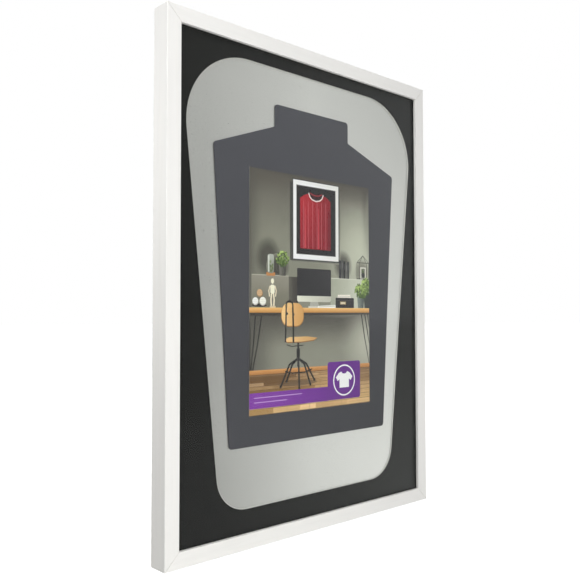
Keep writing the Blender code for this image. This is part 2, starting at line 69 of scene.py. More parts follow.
# ---------------------------------------------------------------- node helpers
class Shader:
    """A material being built: its Principled node and short calls for the rest."""

    def __init__(self, name, rgb=(0.8, 0.8, 0.8), rough=0.5, metal=0.0, **sockets):
        self.mat = bpy.data.materials.new(name)
        self.mat.use_nodes = True
        self.nt = self.mat.node_tree
        self.p = self.nt.nodes["Principled BSDF"]
        self.out = self.nt.nodes["Material Output"]
        self.p.inputs["Base Color"].default_value = (*rgb, 1)
        self.p.inputs["Roughness"].default_value = rough
        self.p.inputs["Metallic"].default_value = metal
        for key, value in sockets.items():
            self.p.inputs[key.replace("_", " ")].default_value = value
        self.coord = self.nt.nodes.new("ShaderNodeTexCoord")

    def node(self, kind, **props):
        made = self.nt.nodes.new(kind)
        for key, value in props.items():
            setattr(made, key, value)
        return made

    def link(self, a, b):
        self.nt.links.new(a, b)

    def mapped(self, scale=(1, 1, 1), rotation=(0, 0, 0)):
        m = self.node("ShaderNodeMapping")
        m.inputs["Scale"].default_value = scale
        m.inputs["Rotation"].default_value = rotation
        self.link(self.coord.outputs["Object"], m.inputs["Vector"])
        return m.outputs["Vector"]

    def noise(self, scale, detail=3.0, rough=0.55, stretch=(1, 1, 1), distortion=0.0):
        n = self.node("ShaderNodeTexNoise")
        n.inputs["Scale"].default_value = scale
        n.inputs["Detail"].default_value = detail
        n.inputs["Roughness"].default_value = rough
        n.inputs["Distortion"].default_value = distortion
        self.link(self.mapped(stretch), n.inputs["Vector"])
        return n.outputs["Fac"]

    def voronoi(self, scale, stretch=(1, 1, 1), feature="F1"):
        n = self.node("ShaderNodeTexVoronoi", feature=feature)
        n.inputs["Scale"].default_value = scale
        self.link(self.mapped(stretch), n.inputs["Vector"])
        return n.outputs["Distance"]

    def span(self, value, a, b, c, d, clamp=True):
        """value, from a..b, to c..d"""
        n = self.node("ShaderNodeMapRange", clamp=clamp)
        for key, v in zip(("From Min", "From Max", "To Min", "To Max"), (a, b, c, d)):
            n.inputs[key].default_value = v
        self.link(value, n.inputs["Value"])
        return n.outputs["Result"]

    def math(self, op, a, b=None):
        n = self.node("ShaderNodeMath", operation=op)
        for slot, v in zip(n.inputs, (a, b)):
            if v is None:
                continue
            if isinstance(v, (int, float)):
                slot.default_value = v
            else:
                self.link(v, slot)
        return n.outputs[0]

    def mix(self, fac, a, b, blend="MIX"):
        n = self.node("ShaderNodeMix", data_type="RGBA", blend_type=blend)
        for slot, v in zip((n.inputs[0], n.inputs[6], n.inputs[7]), (fac, a, b)):
            if isinstance(v, (int, float)):
                slot.default_value = v
            elif isinstance(v, tuple):
                slot.default_value = (*v, 1)
            else:
                self.link(v, slot)
        return n.outputs[2]

    def bump(self, height, strength=0.3, distance=0.0002, chain=None):
        n = self.node("ShaderNodeBump")
        n.inputs["Strength"].default_value = strength
        n.inputs["Distance"].default_value = distance
        self.link(height, n.inputs["Height"])
        if chain is not None:
            self.link(chain, n.inputs["Normal"])
        return n.outputs["Normal"]

    def normal_axis(self):
        g = self.node("ShaderNodeNewGeometry")
        s = self.node("ShaderNodeSeparateXYZ")
        self.link(g.outputs["Normal"], s.inputs[0])
        return s.outputs

    def place_axis(self):
        s = self.node("ShaderNodeSeparateXYZ")
        self.link(self.coord.outputs["Object"], s.inputs[0])
        return s.outputs

    def painted_light_grade(self, colour, upper, lower):
        """Painted light and shade: the colour made stronger or weaker over the face, given at the left, middle and
        right of its top and bottom
        """
        place = self.place_axis()
        level = []
        for left, middle, right in (lower, upper):
            west = self.span(place[0], -0.2, 0.0, left, middle)
            east = self.span(place[0], 0.0, 0.2, 0.0, right - middle)
            level.append(self.math("ADD", west, east))
        gap = self.math("SUBTRACT", level[1], level[0])
        rise = self.span(place[2], -0.446, 0.104, 0, 1)
        # painted light and shade: the colour's strength runs from the bottom values up to the top values
        strength = self.math("ADD", level[0], self.math("MULTIPLY", gap, rise))
        shade = self.node("ShaderNodeCombineXYZ")
        for slot in shade.inputs:
            self.link(strength, slot)
        return self.mix(1.0, colour, shade.outputs[0], "MULTIPLY")

    def set(self, **links):
        for key, value in links.items():
            slot = self.p.inputs[key.replace("_", " ")]
            self.link(value, slot)
        return self.mat


def srgb(r, g, b):
    def lin(c):
        c = c / 255
        return c / 12.92 if c <= 0.04045 else ((c + 0.055) / 1.055) ** 2.4
    return (lin(r), lin(g), lin(b))


# ---------------------------------------------------------------- materials
def moulding(name, stretch):
    """Satin white foil over fibreboard: bare board on the back, white filler in the mitres."""
    s = Shader(name, rough=0.4, Specular_IOR_Level=0.4)
    cloud = s.noise(3.0, 2)
    grain = s.noise(160, 5, 0.6, stretch)
    pores = s.noise(620, 3, 0.6, stretch)
    white = s.mix(s.span(cloud, 0.35, 0.65, 0, 1), srgb(243, 242, 239), srgb(246, 245, 241))
    white = s.mix(s.span(grain, 0.45, 0.75, 0, 0.22), white, srgb(228, 226, 221))
    raw = s.mix(s.noise(420, 4, 0.7), srgb(176, 146, 108), srgb(205, 178, 139))
    raw = s.mix(s.span(s.noise(60, 3), 0.4, 0.7, 0, 0.3), raw, srgb(164, 132, 95))
    raw = s.mix(s.span(s.noise(1300, 3, 0.65), 0.56, 0.7, 0, 0.5), raw, srgb(128, 98, 66))
    back = s.math("GREATER_THAN", s.normal_axis()[1], 0.6)
    edge_noise = s.span(s.noise(90, 3), 0.3, 0.7, 0.0, 0.00035)
    deep = s.math("GREATER_THAN", s.math("ADD", s.place_axis()[1], edge_noise), -0.0052)
    n = s.normal_axis()
    mitre = s.math("MULTIPLY", s.math("GREATER_THAN", s.math("ABSOLUTE", n[0]), 0.6),
                   s.math("GREATER_THAN", s.math("ABSOLUTE", n[2]), 0.6))
    unwrapped = s.math("MULTIPLY", back, deep)
    colour = s.mix(unwrapped, white, raw)
    colour = s.mix(s.math("MULTIPLY", mitre, 0.85), colour, srgb(232, 228, 219))
    rough = s.span(grain, 0.3, 0.7, 0.36, 0.5)
    rough = s.math("MAXIMUM", rough, s.math("MULTIPLY", unwrapped, 0.85))
    relief = s.bump(grain, 0.22, 0.00012)
    relief = s.bump(pores, 0.16, 0.00005, relief)
    return s.set(Base_Color=colour, Roughness=rough, Normal=relief)


MOULDING_V = moulding("moulding_upright", (1.0, 1.0, 0.06))
MOULDING_H = moulding("moulding_level", (0.06, 1.0, 1.0))


def mount_board():
    """Black paper with a fine tooth; the bevel shows the board's pale core."""
    s = Shader("black_mount_paper", rough=0.66, Specular_IOR_Level=0.14)
    fibres = s.noise(1300, 4, 0.65)
    tooth = s.noise(480, 5, 0.7)
    cloud = s.noise(9, 3)
    black = s.mix(s.span(tooth, 0.35, 0.7, 0, 1), srgb(20, 20, 18), srgb(30, 30, 28))
    black = s.mix(s.span(cloud, 0.35, 0.7, 0, 0.35), black, srgb(28, 29, 28))
    # painted sheen and shade: the black made lighter towards the bottom right and darker at the bottom left
    black = s.painted_light_grade(black, (1.0, 1.2, 1.0), (0.8, 1.2, 1.7))
    core = s.mix(s.noise(900, 3), srgb(186, 185, 180), srgb(214, 213, 207))
    n = s.normal_axis()
    side = s.math("LESS_THAN", s.math("ABSOLUTE", n[1]), 0.85)
    place = s.place_axis()
    inner = s.math("LESS_THAN", s.math("ABSOLUTE", place[0]), 0.245)
    inner = s.math("MULTIPLY", inner, s.math("LESS_THAN", place[2], 0.150))
    inner = s.math("MULTIPLY", inner, s.math("GREATER_THAN", place[2], -0.520))
    colour = s.mix(s.math("MULTIPLY", side, inner), black, core)
    relief = s.bump(tooth, 0.35, 0.00006)
    relief = s.bump(fibres, 0.3, 0.00003, relief)
    return s.set(Base_Color=colour, Roughness=s.span(tooth, 0.3, 0.7, 0.58, 0.74), Normal=relief)


def card(name, low, high, rough, fleck=None, metal=0.0, spec=0.45, painted_light=None):
    """Faced board: two close tones, paper tooth, a few fibres.  The last argument, when given, paints light and shade
    into the tint:
    its strength along the top and along the bottom of the face,
    each at its left, middle and right."""
    s = Shader(name, rough=rough, metal=metal, Specular_IOR_Level=spec)
    tooth = s.noise(520, 5, 0.68)
    cloud = s.noise(6, 3)
    fibre = s.noise(700, 3, 0.6, (0.25, 1, 1), 0.6)
    tone = s.mix(s.span(tooth, 0.35, 0.7, 0, 1), low, high)
    tone = s.mix(s.span(cloud, 0.3, 0.7, 0.0, 0.4), tone, low)
    if fleck:
        tone = s.mix(s.span(fibre, 0.62, 0.75, 0, 0.5), tone, fleck)
    # painted light and shade over the tint, when it is given
    if painted_light:
        tone = s.painted_light_grade(tone, *painted_light)
    relief = s.bump(tooth, 0.22, 0.00004)
    relief = s.bump(fibre, 0.14, 0.00003, relief)
    return s.set(
        Base_Color=tone, Roughness=s.span(tooth, 0.3, 0.7, rough - 0.07, rough + 0.07), Normal=relief
    )


# painted sheen and shade: the silver lighter at the top middle and towards the bottom right, darker at the bottom left
SILVER = card("silver_card_face", srgb(188, 188, 184), srgb(200, 200, 196), 0.33, srgb(210, 210, 206), 0.8,
              painted_light=((1.24, 1.52, 1.24), (0.78, 1.42, 1.68)))
# painted shade: the graphite face darker towards the bottom, most at the bottom right
FORMER = card("graphite_board_face", srgb(75, 75, 80), srgb(86, 86, 92), 0.66, srgb(99, 99, 105), spec=0.2,
              painted_light=((1.07, 1.1, 1.1), (0.82, 0.7, 0.5)))
FOAM = card("foam_board_white", srgb(226, 226, 222), srgb(240, 240, 237), 0.75)


def hardboard():
    s = Shader("hardboard_brown", rough=0.7, Specular_IOR_Level=0.35)
    chips = s.noise(620, 6, 0.75)
    strands = s.noise(420, 5, 0.7, (1, 1, 0.5), 0.5)
    flecks = s.noise(1500, 3, 0.6, (0.6, 1, 1))
    cloud = s.noise(7, 4, 0.6)
    tone = s.mix(s.span(chips, 0.3, 0.7, 0, 1), srgb(120, 84, 54), srgb(168, 127, 88))
    tone = s.mix(s.span(strands, 0.52, 0.72, 0, 0.45), tone, srgb(88, 59, 37))
    tone = s.mix(s.span(flecks, 0.6, 0.72, 0, 0.55), tone, srgb(204, 168, 124))
    tone = s.mix(s.span(cloud, 0.35, 0.7, 0, 0.3), tone, srgb(176, 136, 96))
    weave = s.voronoi(900)
    relief = s.bump(chips, 0.45, 0.00012)
    relief = s.bump(weave, 0.25, 0.00005, relief)
    return s.set(Base_Color=tone, Roughness=s.span(chips, 0.3, 0.7, 0.6, 0.8), Normal=relief)


def plated(name, low, high, rough, scratch=0.25):
    """Zinc-plated or blued sheet steel: soft blotches and fine handling marks."""
    s = Shader(name, rough=rough, metal=1.0)
    bloom = s.noise(180, 4, 0.6)
    marks = s.noise(1500, 4, 0.7, (1, 1, 0.08))
    tone = s.mix(s.span(bloom, 0.35, 0.7, 0, 1), low, high)
    tone = s.mix(s.span(marks, 0.6, 0.8, 0, scratch), tone, srgb(228, 228, 226))
    relief = s.bump(marks, 0.12, 0.00002)
    relief = s.bump(bloom, 0.12, 0.00004, relief)
    return s.set(Base_Color=tone, Roughness=s.span(bloom, 0.3, 0.7, rough - 0.07, rough + 0.1), Normal=relief)


ZINC = plated("zinc_plate", srgb(176, 178, 180), srgb(205, 206, 205), 0.3)
BLUED = plated("blued_steel", srgb(88, 90, 96), srgb(120, 121, 126), 0.38, 0.15)


def rubber():
    s = Shader("bumper_rubber_black", rough=0.72, Specular_IOR_Level=0.4)
    grain = s.noise(2200, 4, 0.7)
    dust = s.noise(300, 4, 0.6)
    tone = s.mix(s.span(dust, 0.5, 0.8, 0, 0.35), srgb(34, 34, 35), srgb(78, 77, 76))
    return s.set(Base_Color=tone, Roughness=s.span(dust, 0.3, 0.7, 0.62, 0.82), Normal=s.bump(grain, 0.4, 0.00004))


RUBBER = rubber()


def glazing():
    """Clear sheet: what is behind shows through, with a faint gloss that grows at a slant."""
    s = Shader("clear_sheet", (0.92, 0.95, 0.94), 0.04)
    clear = s.node("ShaderNodeBsdfTransparent")
    clear.inputs["Color"].default_value = (0.985, 0.99, 0.987, 1)
    gloss = s.node("ShaderNodeBsdfGlossy")
    gloss.inputs["Color"].default_value = (0.9, 0.92, 0.92, 1)
    s.link(s.span(s.noise(14, 3), 0.3, 0.7, 0.05, 0.09), gloss.inputs["Roughness"])
    s.link(s.bump(s.noise(5, 2), 0.05, 0.0004), gloss.inputs["Normal"])
    facing = s.node("ShaderNodeLayerWeight")
    facing.inputs["Blend"].default_value = 0.5
    slant = s.math("POWER", facing.outputs["Facing"], 2.0)
    fac = s.math("ADD", s.math("MULTIPLY", slant, 0.14), 0.004)
    mixed = s.node("ShaderNodeMixShader")
    s.link(fac, mixed.inputs[0])
    s.link(clear.outputs[0], mixed.inputs[1])
    s.link(gloss.outputs[0], mixed.inputs[2])
    s.link(mixed.outputs[0], s.out.inputs["Surface"])
    s.nt.nodes.remove(s.p)
    return s.mat


def assign(node, material):
    slots = NODES[node].material_slots
    if not slots:
        NODES[node].data.materials.append(material)
    for one in NODES[node].material_slots:
        one.material = material


for side in ("left", "right"):
    assign(f"rail_{side}", MOULDING_V)
    assign(f"spacer_{side}", FOAM)
for side in ("top", "bottom"):
    assign(f"rail_{side}", MOULDING_H)
    assign(f"spacer_{side}", FOAM)
for corner in ("top_left", "top_right", "bottom_left", "bottom_right"):
    assign(f"v_nail_{corner}", BLUED)
assign("window_mount", mount_board())
assign("shirt_former", FORMER)
assign("silver_backing_card", SILVER)
assign("glazing", glazing())
assign("back_board", hardboard())


# ---------------------------------------------------------------- mesh helpers
def new_object(name, mesh, material, body="frame", smooth=None, replaces=()):
    obj = bpy.data.objects.new(name, mesh)
    scene.collection.objects.link(obj)
    if material is not None:
        mesh.materials.clear()
        mesh.materials.append(material)
    if smooth:
        mesh.shade_smooth()
        mesh.set_sharp_from_angle(angle=math.radians(smooth))
    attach(obj, body)
    if replaces:
        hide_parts(*replaces)
    return obj


def evaluated_mesh(obj):
    """The object's finished mesh, welded, in its own space; the object is removed."""
    bpy.context.view_layer.update()
    graph = bpy.context.evaluated_depsgraph_get()
    mesh = bpy.data.meshes.new_from_object(obj.evaluated_get(graph))
    bpy.data.objects.remove(obj, do_unlink=True)
    bm = bmesh.new()
    bm.from_mesh(mesh)
    bmesh.ops.remove_doubles(bm, verts=bm.verts, dist=1e-7)
    bmesh.ops.recalc_face_normals(bm, faces=bm.faces)
    bm.to_mesh(mesh)
    bm.free()
    return mesh


def outline_mesh(name, loops, thickness, round_edge, drill=None):
    """A flat shape in XY, thickness mm along Z, with its edges rounded by round_edge mm.
    drill is an optional (matrix, radius mm, depth mm) hole."""
    data = bpy.data.curves.new(name, "CURVE")
    data.dimensions = "2D"
    data.fill_mode = "BOTH"
    data.extrude = thickness * MM / 2
    for loop in loops:
        spline = data.splines.new("POLY")
        spline.points.add(len(loop) - 1)
        for point, (x, y) in zip(spline.points, loop):
            point.co = (x * MM, y * MM, 0.0, 1.0)
        spline.use_cyclic_u = True
    obj = bpy.data.objects.new(name, data)
    scene.collection.objects.link(obj)
    body = bpy.data.objects.new(name, evaluated_mesh(obj))
    scene.collection.objects.link(body)
    tool = None
    if drill:
        place, radius, depth = drill
        bm = bmesh.new()
        bmesh.ops.create_cone(
            bm, cap_ends=True, segments=32, radius1=radius * MM, radius2=radius * MM,
            depth=depth * MM, matrix=place,
        )
        mesh = bpy.data.meshes.new("drill")
        bm.to_mesh(mesh)
        bm.free()
        tool = bpy.data.objects.new("drill", mesh)
        scene.collection.objects.link(tool)
        step = body.modifiers.new("Cut", "BOOLEAN")
        step.operation, step.solver, step.object = "DIFFERENCE", "EXACT", tool
    edge = body.modifiers.new("Bevel", "BEVEL")
    edge.width = round_edge * MM
    edge.segments = 3
    edge.limit_method = "ANGLE"
    edge.angle_limit = math.radians(50)
    mesh = evaluated_mesh(body)
    if tool:
        bpy.data.objects.remove(tool, do_unlink=True)
    return mesh


def lathe(name, profile, steps):
    """A turned mesh about Z from (radius, height) points in mm, closed at the axis."""
    bm = bmesh.new()
    rings = []
    for r, h in profile:
        if r < 1e-6:
            rings.append([bm.verts.new((0, 0, h * MM))])
        else:
            rings.append([
                bm.verts.new((r * MM * math.cos(2 * math.pi * i / steps),
                              r * MM * math.sin(2 * math.pi * i / steps), h * MM))
                for i in range(steps)
            ])
    for a, b in zip(rings, rings[1:]):
        for i in range(steps):
            j = (i + 1) % steps
            quad = [a[i % len(a)], a[j % len(a)], b[j % len(b)], b[i % len(b)]]
            quad = list(dict.fromkeys(quad))
            if len(quad) > 2:
                bm.faces.new(quad)
    bmesh.ops.recalc_face_normals(bm, faces=bm.faces)
    mesh = bpy.data.meshes.new(name)
    bm.to_mesh(mesh)
    bm.free()
    return mesh


def arc(cx, cy, r, a0, a1, steps):
    return [
        (cx + r * math.cos(math.radians(a0 + (a1 - a0) * i / steps)),
         cy + r * math.sin(math.radians(a0 + (a1 - a0) * i / steps)))
        for i in range(steps + 1)
    ]




# ---------------------------------------------------------------- fasteners and hangers
TO_WALL = Matrix.Rotation(math.radians(-90), 4, "X")       # local +Z points to the wall


def screw_mesh():
    """Pan-head wood screw with a cross recess; its head's seat is at height 0."""
    head = [(0.0, 1.8), (0.8, 1.78), (1.5, 1.68), (2.1, 1.48), (2.6, 1.16), (2.88, 0.78),
            (2.98, 0.4), (3.0, 0.12), (2.9, 0.0), (1.45, 0.0)]
    shank = [(1.45, -0.6)]
    z = -1.2
    while z > -8.6:
        shank += [(1.12, z), (1.46, z - 0.45), (1.46, z - 0.55), (1.12, z - 0.95)]
        z -= 1.0
    shank += [(1.05, -9.2), (0.55, -10.3), (0.0, -11.0)]
    mesh = lathe("screw", head + shank, 36)
    body = bpy.data.objects.new("screw", mesh)
    scene.collection.objects.link(body)
    bm = bmesh.new()
    for turn in (0, 90):
        made = bmesh.ops.create_cube(bm, size=1.0)["verts"]
        bmesh.ops.scale(bm, vec=(3.3 * MM, 0.62 * MM, 1.6 * MM), verts=made)
        for v in made:
            if v.co.z < 0:
                v.co.x *= 0.55
                v.co.y *= 0.75
        bmesh.ops.rotate(bm, verts=made, matrix=Matrix.Rotation(math.radians(turn), 3, "Z"))
        bmesh.ops.translate(bm, verts=made, vec=(0, 0, 1.55 * MM))
    tool_mesh = bpy.data.meshes.new("cross")
    bm.to_mesh(tool_mesh)
    bm.free()
    tool = bpy.data.objects.new("cross", tool_mesh)
    scene.collection.objects.link(tool)
    step = body.modifiers.new("Cut", "BOOLEAN")
    step.operation, step.solver, step.object = "DIFFERENCE", "EXACT", tool
    step.use_self = True
    mesh = evaluated_mesh(body)
    bpy.data.objects.remove(tool, do_unlink=True)
    return mesh


SCREW = screw_mesh()
turns = random.Random(11)
for name in sorted(NODES):
    if "_screw_" not in name:
        continue
    lo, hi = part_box(name)
    obj = new_object(name + "_fine", SCREW.copy(), ZINC, "frame", 32, (name,))
    middle = (lo + hi) / 2
    obj.matrix_world = (
        Matrix.Translation((middle.x, hi.y - 1.8 * MM, middle.z)) @ TO_WALL
        @ Matrix.Rotation(turns.uniform(0, math.pi / 2), 4, "Z")
    )

BUTTON_R, BUTTON_TIP_R, BUTTON_REACH, BUTTON_T = 5.0, 3.4, 19.0, 1.2
lean = math.degrees(math.acos((BUTTON_R - BUTTON_TIP_R) / (BUTTON_REACH - BUTTON_TIP_R)))
BUTTON = outline_mesh(
    "turn_button",
    [arc(0, 0, BUTTON_R, lean, 360 - lean, 30)
     + arc(BUTTON_REACH - BUTTON_TIP_R, 0, BUTTON_TIP_R, -lean, lean, 18),
     arc(0, 0, 1.8, 0, 360, 32)[:-1]],
    BUTTON_T, 0.22,
)
PIVOTS = {j["child"]: Vector(j["pos_m"]) for j in frame["joints"]}
for name in sorted(NODES):
    if not name.startswith("turn_button_"):
        continue
    side = name.split("_")[2]
    inward = {"left": Vector((1, 0, 0)), "right": Vector((-1, 0, 0)),
              "top": Vector((0, 0, -1)), "bottom": Vector((0, 0, 1))}[side]
    turn = Matrix((inward, Vector((0, 1, 0)).cross(inward), Vector((0, 1, 0)))).transposed()
    obj = new_object(name + "_fine", BUTTON.copy(), ZINC, name, 32, (name,))
    obj.matrix_world = Matrix.Translation(PIVOTS[name]) @ turn.to_4x4()

WIRE_R, LOOP_IN, LOOP_OUT, LEAF_T = 0.9, 1.2, 1.9, 0.7
for side, sx in (("left", -1), ("right", 1)):
    inward = -sx
    pivot = PIVOTS[f"d_ring_{side}"]
    seat, top, tail = -LOOP_OUT, -LOOP_OUT + 2 * LEAF_T, -14.5
    up = math.degrees(math.asin(top / LOOP_OUT))
    section = [(tail, seat + 0.1), (tail, top - 0.1)] + arc(0, 0, LOOP_OUT, 180 - up, -90, 36)
    eye = arc(0, 0, LOOP_IN, 0, 360, 32)[:-1]
    hole = Matrix.Translation((-10.0 * MM, -1.2 * MM, 0)) @ Matrix.Rotation(math.radians(90), 4, "X")
    mesh = outline_mesh(f"strap_{side}", [section, eye], 9.0, 0.16, (hole, 1.8, 5.0))
    turn = Matrix(
        (Vector((inward, 0, 0)), Vector((0, 1, 0)), Vector((inward, 0, 0)).cross(Vector((0, 1, 0))))
    ).transposed().to_4x4()
    strap = new_object(
        f"hanger_strap_{side}_fine", mesh, ZINC, "frame", 32, (f"hanger_strap_{side}",)
    )
    strap.matrix_world = Matrix.Translation(pivot) @ turn

    pts = [(0.0, -6.6 + 13.2 * i / 8) for i in range(9)]
    pts += arc(1.4, 6.6, 1.4, 180, 90, 6)[1:]
    pts += [(1.4 + 8.6 * math.sin(math.radians(a)), 8.0 * math.cos(math.radians(a)))
            for a in range(6, 180, 6)]
    pts += arc(1.4, -6.6, 1.4, 270, 180, 6)[:-1]
    data = bpy.data.curves.new(f"d_ring_{side}", "CURVE")
    data.dimensions = "3D"
    data.bevel_depth = WIRE_R * MM
    data.bevel_resolution = 6
    spline = data.splines.new("POLY")
    spline.points.add(len(pts) - 1)
    for point, (u, w) in zip(spline.points, pts):
        point.co = (inward * u * MM, 0.0, w * MM, 1.0)
    spline.use_cyclic_u = True
    wire = bpy.data.objects.new(f"wire_{side}", data)
    scene.collection.objects.link(wire)
    ring = new_object(
        f"d_ring_{side}_fine", evaluated_mesh(wire), ZINC, f"d_ring_{side}", 60,
        (f"d_ring_{side}",),
    )
    ring.matrix_world = Matrix.Translation(pivot)

    lo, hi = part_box(f"wall_bumper_{side}")
    pad = lathe(
        f"bumper_{side}",
        [(0.0, 4.8), (0.5, 4.8), (0.8, 4.86), (1.0, 5.0), (3.4, 5.0), (3.75, 4.9), (3.95, 4.65),
         (4.05, 4.3), (4.85, 1.5), (4.95, 1.15), (5.0, 0.9), (5.0, 0.3), (0.0, 0.3)], 64,
    )
    foot = new_object(
        f"wall_bumper_{side}_fine", pad, RUBBER, "frame", 40, (f"wall_bumper_{side}",)
    )
    foot.matrix_world = Matrix.Translation(
        ((lo.x + hi.x) / 2, hi.y - 5.0 * MM, (lo.z + hi.z) / 2)) @ TO_WALL


# ---------------------------------------------------------------- the printed sheet
# Drawn as flat colour areas on a 750 x 1059 grid, y down, which the sheet's face scales
# to its own size.  Later areas lie over earlier ones.
PRINT_W, PRINT_H = 750.0, 1059.0
areas = []                              # (points, colour or function of x, y)


def area(points, colour):
    inside = [(min(max(x, 0.0), PRINT_W), min(max(y, 0.0), PRINT_H)) for x, y in points]
    kept = [p for i, p in enumerate(inside) if math.dist(p, inside[i - 1]) > 0.05]
    if len(kept) > 2:
        turn = sum(a[0] * b[1] - b[0] * a[1] for a, b in zip(kept, kept[1:] + kept[:1]))
        if abs(turn) > 0.5:
            areas.append((kept if turn > 0 else kept[::-1], colour))


def block(x0, y0, x1, y1, colour):
    area([(x0, y0), (x1, y0), (x1, y1), (x0, y1)], colour)


def oval(cx, cy, rx, ry, colour, n=20, tilt=0.0):
    c, s = math.cos(math.radians(tilt)), math.sin(math.radians(tilt))
    area([
        (cx + rx * math.cos(2 * math.pi * i / n) * c - ry * math.sin(2 * math.pi * i / n) * s,
         cy + rx * math.cos(2 * math.pi * i / n) * s + ry * math.sin(2 * math.pi * i / n) * c)
        for i in range(n)
    ], colour)


def soft_block(x0, y0, x1, y1, r, colour, n=6):
    pts = []
    for cx, cy, a in ((x1 - r, y0 + r, -90), (x1 - r, y1 - r, 0), (x0 + r, y1 - r, 90), (x0 + r, y0 + r, 180)):
        pts += arc(cx, cy, r, a, a + 90, n)
    area(pts, colour)


def stroke(points, width, colour, closed=False):
    """A line of even width with mitred joins."""
    pts = [Vector(p) for p in points]
    n = len(pts)
    left, right = [], []
    for i, p in enumerate(pts):
        before = pts[i - 1] if (i or closed) else None
        after = pts[(i + 1) % n] if (i < n - 1 or closed) else None
        d = Vector((0, 0))
        if before is not None:
            d += (p - before).normalized()
        if after is not None:
            d += (after - p).normalized()
        d.normalize()
        side = Vector((-d.y, d.x)) * width / 2
        left.append(tuple(p + side))
        right.append(tuple(p - side))
    if closed:
        for i in range(n):
            j = (i + 1) % n
            area([left[i], left[j], right[j], right[i]], colour)
    else:
        area(left + right[::-1], colour)


def blend(a, b, t):
    t = min(max(t, 0.0), 1.0)
    t = t * t * (3 - 2 * t)
    return tuple(p + (q - p) * t for p, q in zip(a, b))


def vivid(rgb):
    """A drawn colour as printed: a little more contrast and saturation."""
    grey = sum(rgb) / 3
    return tuple(min(max(grey + (c - grey) * 1.22, 0), 255) * (0.82 + 0.29 * grey / 255) for c in rgb)


def glow(x, y, cx, cy, r):
    return max(0.0, 1 - math.hypot(x - cx, (y - cy) * 0.8) / r)


def wall_tone(x, y):
    base = blend((112, 109, 101), (142, 142, 129), y / 330)
    base = blend(base, (194, 196, 180), glow(x, y, 690, 330, 320))
    base = blend(base, (98, 94, 86), max(0.0, 1 - y / 130) * 0.9)
    base = blend(base, (88, 86, 80), max(0.0, 1 - x / 90) * 0.6)
    base = blend(base, (84, 80, 74), max(0.0, (x - 690) / 60) * max(0.0, 1 - y / 420))
    if y > 600:
        base = blend((88, 85, 79), (146, 146, 134), (y - 610) / 190)
        base = blend(base, (186, 186, 173), glow(x, y, 730, 760, 210))
        base = blend(base, (96, 94, 88), max(0.0, 1 - x / 190) * 0.8)
    return base


def floor_tone(x, y):
    base = blend((140, 114, 86), (208, 178, 134), (y - 885) / 150)
    return blend(base, (214, 182, 140), glow(x, y, 480, 960, 330) * 0.7)


rnd = random.Random(5)


def soft_shade(cx, cy, rx, ry, tone, most, under=wall_tone, steps=16):
    """A soft-edged darker patch over the tone that lies under it."""
    for k in range(steps):
        grow = 1.35 - 0.7 * k / (steps - 1)
        amount = most * (k + 1) / steps
        oval(cx, cy, rx * grow, ry * grow,
             lambda x, y, amount=amount: tuple(
                 p + (q - p) * amount for p, q in zip(under(x, y), tone)), 26)


def foliage(cx, cy, rx, ry, count, size, dark=(38, 58, 24), light=(196, 216, 140)):
    for _ in range(count):
        a, k = rnd.uniform(0, 2 * math.pi), math.sqrt(rnd.uniform(0, 1))
        x, y = cx + rx * k * math.cos(a), cy + ry * k * math.sin(a)
        t = 0.25 + 0.75 * rnd.random() * (1 - (y - cy + ry) / (2.4 * ry))
        oval(x, y, size * rnd.uniform(0.8, 1.5), size * rnd.uniform(0.4, 0.65),
             blend(dark, light, t), 9, rnd.uniform(0, 180))


